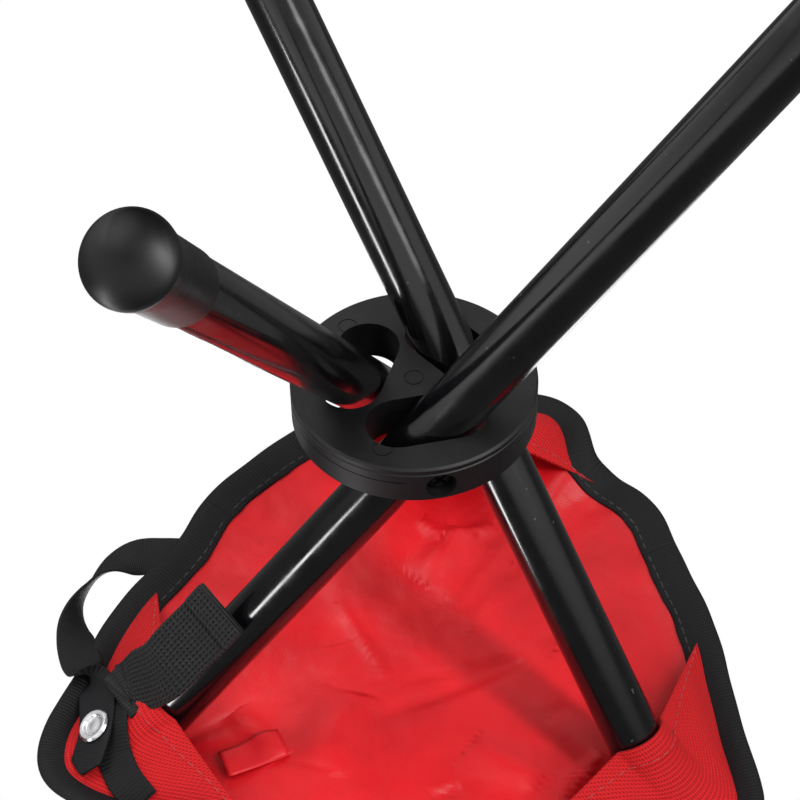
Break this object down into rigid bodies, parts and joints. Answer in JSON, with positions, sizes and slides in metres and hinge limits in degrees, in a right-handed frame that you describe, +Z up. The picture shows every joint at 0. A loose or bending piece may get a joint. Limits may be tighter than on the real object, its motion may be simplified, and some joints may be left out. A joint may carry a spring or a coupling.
{
  "type": "folding tripod stool",
  "caption": "Small folding stool: three painted steel legs cross in a round hub and carry a three-cornered cloth seat in corner pockets. Each leg turns on a radial screw, so the legs fold into one bundle.",
  "frame": {"origin": "on the floor, under the middle of the hub, with the stool open and standing on its three feet", "axes": "+Z up along the hub axis; +Y towards seat corner a; corners b and c at 210 and 330 degrees from +X"},
  "size_m": [0.2338, 0.2343, 0.2819],
  "materials": {
    "hub_plastic": "moulded black nylon",
    "cover_plastic": "moulded black nylon",
    "screw_steel": "black oxide steel",
    "tube_paint": "gloss black powder coat",
    "cap_rubber": "satin black moulding",
    "plug_plastic": "moulded black plastic",
    "seat_fabric": "red coated 600D Oxford cloth",
    "pocket_fabric": "red 600D Oxford cloth, woven side",
    "binding_tape": "black ribbed tape",
    "strap_tape": "black smooth tape",
    "webbing": "black coarse webbing",
    "snap_metal": "nickel plated"
  },
  "bodies": {
    "hub": {"hub_body": "hub_plastic", "hub_cover": "cover_plastic", "pivot_screw_a": "screw_steel", "pivot_screw_b": "screw_steel", "pivot_screw_c": "screw_steel"},
    "leg_a": {"leg_tube_a": "tube_paint", "foot_cap_a": "cap_rubber", "top_plug_a": "plug_plastic", "corner_pocket_a": "pocket_fabric"},
    "leg_b": {"leg_tube_b": "tube_paint", "foot_cap_b": "cap_rubber", "top_plug_b": "plug_plastic", "corner_pocket_b": "pocket_fabric"},
    "leg_c": {"leg_tube_c": "tube_paint", "foot_cap_c": "cap_rubber", "top_plug_c": "plug_plastic", "corner_pocket_c": "pocket_fabric", "webbing_tab": "webbing", "strap_anchor": "binding_tape", "snap_stud": "snap_metal"},
    "seat_a1": {"seat_cloth_a1": "seat_fabric", "edge_binding_a1": "binding_tape"},
    "seat_a2": {"seat_cloth_a2": "seat_fabric", "edge_binding_a2": "binding_tape"},
    "seat_b1": {"seat_cloth_b1": "seat_fabric", "edge_binding_b1": "binding_tape"},
    "seat_b2": {"seat_cloth_b2": "seat_fabric", "edge_binding_b2": "binding_tape"},
    "seat_c1": {"seat_cloth_c1": "seat_fabric", "edge_binding_c1": "binding_tape", "closure_strap": "strap_tape", "snap_cap": "snap_metal"},
    "seat_c2": {"seat_cloth_c2": "seat_fabric", "edge_binding_c2": "binding_tape", "pocket_flap": "seat_fabric"}
  },
  "joints": [
    {"name": "leg_a_fold", "type": "hinge", "parent": "hub", "child": "leg_a", "pos_m": [0.01507, 0.00263, 0.16003], "axis": [0.9851, 0.1719, 0], "range_deg": [0, 38.2], "deforming": ["corner_pocket_a"]},
    {"name": "leg_b_fold", "type": "hinge", "parent": "hub", "child": "leg_b", "pos_m": [-0.00981, 0.01174, 0.16003], "axis": [-0.6414, 0.7672, 0], "range_deg": [0, 38.2], "deforming": ["corner_pocket_b"]},
    {"name": "leg_c_fold", "type": "hinge", "parent": "hub", "child": "leg_c", "pos_m": [-0.00526, -0.01437, 0.16003], "axis": [-0.3437, -0.9391, 0], "range_deg": [0, 38.2], "deforming": ["corner_pocket_c", "webbing_tab", "strap_anchor", "snap_stud"]},
    {"name": "seat_a1_fold", "type": "hinge", "parent": "leg_a", "child": "seat_a1", "pos_m": [0, 0.08901, 0.28057], "axis": [0.1897, -0.8647, -0.4651], "range_deg": [0, 131.84], "deforming": ["seat_cloth_a1", "edge_binding_a1"]},
    {"name": "seat_a2_fold", "type": "hinge", "parent": "leg_a", "child": "seat_a2", "pos_m": [0, 0.08901, 0.28057], "axis": [0.4749, -0.7631, -0.4383], "range_deg": [0, 90.45], "deforming": ["seat_cloth_a2", "edge_binding_a2"]},
    {"name": "seat_b1_fold", "type": "hinge", "parent": "leg_b", "child": "seat_b1", "pos_m": [-0.07709, -0.04451, 0.28057], "axis": [0.654, 0.5967, -0.4651], "range_deg": [0, 131.84], "deforming": ["seat_cloth_b1", "edge_binding_b1"]},
    {"name": "seat_b2_fold", "type": "hinge", "parent": "leg_b", "child": "seat_b2", "pos_m": [-0.07709, -0.04451, 0.28057], "axis": [0.4235, 0.7928, -0.4383], "range_deg": [0, 90.45], "deforming": ["seat_cloth_b2", "edge_binding_b2"]},
    {"name": "seat_c1_fold", "type": "hinge", "parent": "leg_c", "child": "seat_c1", "pos_m": [0.07709, -0.04451, 0.28057], "axis": [-0.8437, 0.268, -0.4651], "range_deg": [0, 131.84], "deforming": ["seat_cloth_c1", "edge_binding_c1", "closure_strap", "snap_cap"]},
    {"name": "seat_c2_fold", "type": "hinge", "parent": "leg_c", "child": "seat_c2", "pos_m": [0.07709, -0.04451, 0.28057], "axis": [-0.8983, -0.0297, -0.4383], "range_deg": [0, 90.45], "deforming": ["seat_cloth_c2", "edge_binding_c2", "pocket_flap"]}
  ],
  "couplings": [
    {"joint": "leg_b_fold", "follows": "leg_a_fold", "ratio": 1},
    {"joint": "leg_c_fold", "follows": "leg_a_fold", "ratio": 1},
    {"joint": "seat_a1_fold", "follows": "leg_a_fold", "ratio": 3.45},
    {"joint": "seat_a2_fold", "follows": "leg_a_fold", "ratio": 2.3665},
    {"joint": "seat_b1_fold", "follows": "leg_a_fold", "ratio": 3.45},
    {"joint": "seat_b2_fold", "follows": "leg_a_fold", "ratio": 2.3665},
    {"joint": "seat_c1_fold", "follows": "leg_a_fold", "ratio": 3.45},
    {"joint": "seat_c2_fold", "follows": "leg_a_fold", "ratio": 2.3665}
  ]
}
